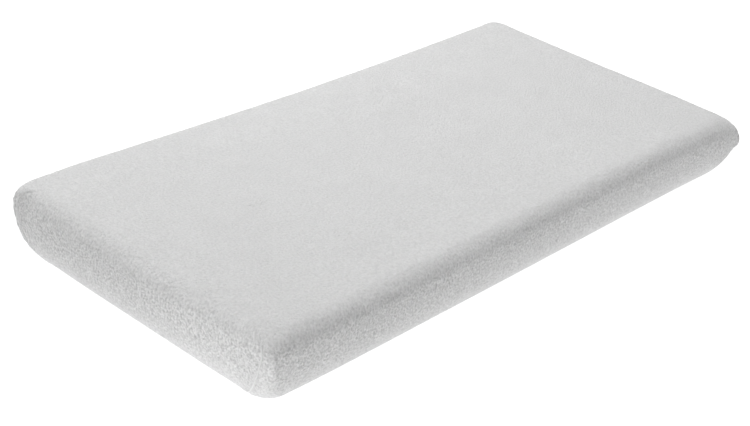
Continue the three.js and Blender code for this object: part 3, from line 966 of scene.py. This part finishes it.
def makeTape(name, nodeName, side, settings):
    # A woven tape whose inner part steps up to the coil, as a smooth step. It runs on past
    # the coils.
    low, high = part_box(nodeName)
    inner = min(abs(low[1] - zipY), abs(high[1] - zipY))
    outer = max(abs(low[1] - zipY), abs(high[1] - zipY))
    thickness = settings["thickness"]
    across = np.linspace(inner, outer, 22)
    seat, level = low[2] + thickness / 2, high[2] - thickness / 2
    middle = seat + (level - seat) * smoothStep((settings["stepAt"] - across) / settings["stepWidth"])
    # Each end of the section is rounded, as the square root of one less a square
    fromEnd = np.minimum(across - inner, outer - across) / settings["edge"]
    half = thickness / 2 * np.sqrt(1 - np.clip(1 - fromEnd, 0, 0.9) ** 2)
    y = np.concatenate([across, across[::-1]])
    z = np.concatenate([middle - half, (middle + half)[::-1]])
    steps = gradedSteps(2 * (zipReach + tapeTail + 0.008), 0.0008, 0.004)
    steps = steps - steps[-1] / 2
    # Past the stops the inner edges of the two tapes close up to each other
    pastCoils = np.abs(steps) - zipReach
    closing = smoothStep((pastCoils - settings["closeAfter"]) / settings["closeOver"])[:, None]
    y = y[None] - closing * (inner - 0.0002) * (outer - y[None]) / (outer - inner)
    weave = settings["weaveHeight"] * np.sin(steps / 0.0011)[:, None] + 0 * y
    grid = np.stack([np.broadcast_to(steps[:, None], y.shape), zipY + side * y, z[None] + weave], -1)
    piece = finishMesh(gridMesh(name, grid, capped=True), sharpAngle=1.2)
    return dress(piece, webbing, [nodeName])


coilSettings = {
    "pitch": 0.0015,
    "wire": 0.00034,          # radius
    "stepsPerTurn": 12,
    "sides": 6,
    "reach": 0.0003,          # how far the turns come past the edge of the gap
}


def makeCoil(name, nodeName, side, settings):
    # A monofilament wound as a helix. Its turns reach a little past the gap's edge, and
    # the two coils are half a pitch out of step.
    low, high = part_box(nodeName)
    wire = settings["wire"]
    turns = (high[0] - low[0] - 2 * wire) / settings["pitch"]
    angle = np.linspace(0, 2 * math.pi * turns, int(turns * settings["stepsPerTurn"]))
    halfY = (high[1] - low[1] + settings["reach"]) / 2 - wire
    halfZ = (high[2] - low[2]) / 2 - wire
    y = (low[1] + high[1]) / 2 - side * settings["reach"] / 2 + halfY * np.cos(angle)
    z = (low[2] + high[2]) / 2 + halfZ * np.sin(angle) * (1 - 0.25 * np.cos(angle) * side)
    z = np.clip(z, low[2] + wire, high[2] - wire)
    offset = settings["pitch"] / 4 * side
    x = low[0] + wire + angle / (2 * math.pi) * settings["pitch"] + offset * smoothStep(angle / 6)
    path = np.stack([np.minimum(x, high[0] - wire), y, z], -1)
    ring = tubeSections(path, wire, settings["sides"], (1, 0, 0))
    piece = finishMesh(gridMesh(name, ring, capped=True), 1e-7)
    return dress(piece, nylon, [nodeName])


for place, side in (("front", -1), ("rear", 1)):
    makeTape("zipTape" + place.capitalize(), "zip_tape_" + place, side, tapeSettings)
    makeCoil("zipCoil" + place.capitalize(), "zip_coil_" + place, side, coilSettings)


def polishedCopy(name, nodeName, bevel, body="pad"):
    # A merged copy of the cast metal piece, with its edges rounded
    piece = bpy.data.objects.new(name, nodes[nodeName].data.copy())
    scene.collection.objects.link(piece)
    work = bmesh.new()
    work.from_mesh(piece.data)
    bmesh.ops.remove_doubles(work, verts=work.verts, dist=1e-6)
    bmesh.ops.dissolve_limit(work, angle_limit=0.03, verts=work.verts, edges=work.edges)
    sharp = [edge for edge in work.edges if edge.is_manifold and edge.calc_face_angle() > 0.6]
    bmesh.ops.bevel(work, geom=sharp, offset=bevel, segments=2, profile=0.5, affect="EDGES",
                    clamp_overlap=True)
    work.to_mesh(piece.data)
    work.free()
    finishMesh(piece, 1e-7, 0.9)
    return dress(piece, metal, [nodeName], body)


polishedCopy("zipClosedEndStop", "zip_closed_end_stop", 0.0003)
polishedCopy("zipOpenEndStop", "zip_open_end_stop", 0.0003)
polishedCopy("zipSlider", "zip_slider", 0.00015, "slider")
polishedCopy("zipPull", "zip_pull", 0.0002, "pull")
print("zip made")

studio = {
    "floorGlow": 1.20,
    "world": 0.15,
    "horizon": 0.9,
    "overheadPower": 61,
    "endPower": 0.10,         # a small light close to the front left corner
}


def makeLight(name, size, power, place, aim):
    data = bpy.data.lights.new(name, "AREA")
    data.shape = "RECTANGLE"
    data.size, data.size_y = size
    data.energy = power
    light = bpy.data.objects.new(name, data)
    light.location = place
    light.rotation_euler = (Vector(aim) - Vector(place)).to_track_quat("-Z", "Y").to_euler()
    light.visible_camera = False
    scene.collection.objects.link(light)


def makeStudio(settings):
    size = 6
    corners = np.array([(-size, -size, 0), (size, -size, 0), (size, size, 0), (-size, size, 0)], float)
    floor = meshOf("floor", corners, [np.array([[0, 1, 2, 3]])])
    material, tree, shader, place = shaderMaterial("lightTable", (0, 0, 0), 1, 0)
    shader.inputs["Emission Color"].default_value = (1, 1, 1, 1)
    shader.inputs["Emission Strength"].default_value = settings["floorGlow"]
    floor.data.materials.append(material)
    world = bpy.data.worlds.new("studio")
    world.use_nodes = True
    tree = world.node_tree
    place = tree.nodes.new("ShaderNodeTexCoord")
    axes = tree.nodes.new("ShaderNodeSeparateXYZ")
    tree.links.new(place.outputs["Generated"], axes.inputs["Vector"])
    # Bright just above the horizon, and dim overhead
    fade = mathNode(tree, "SMOOTH_MIN", 1.0, mathNode(tree, "MULTIPLY", axes.outputs["Z"], 14.0), 0.1)
    strength = mathNode(tree, "MULTIPLY_ADD", fade, settings["world"] - settings["horizon"],
                        settings["horizon"])
    background = tree.nodes["Background"]
    background.inputs["Color"].default_value = (1, 1, 1, 1)
    tree.links.new(strength, background.inputs["Strength"])
    scene.world = world
    scene.view_settings.view_transform = "Standard"
    makeLight("overhead", (2.2, 1.6), settings["overheadPower"], (0.05, 0.6, 2.4), (0, 0, 0))
    makeLight("endLight", (0.14, 0.04), settings["endPower"], (-0.60, -0.185, 0.03),
              (-halfLength, -0.175, 0.03))


makeStudio(studio)
print("studio lit")
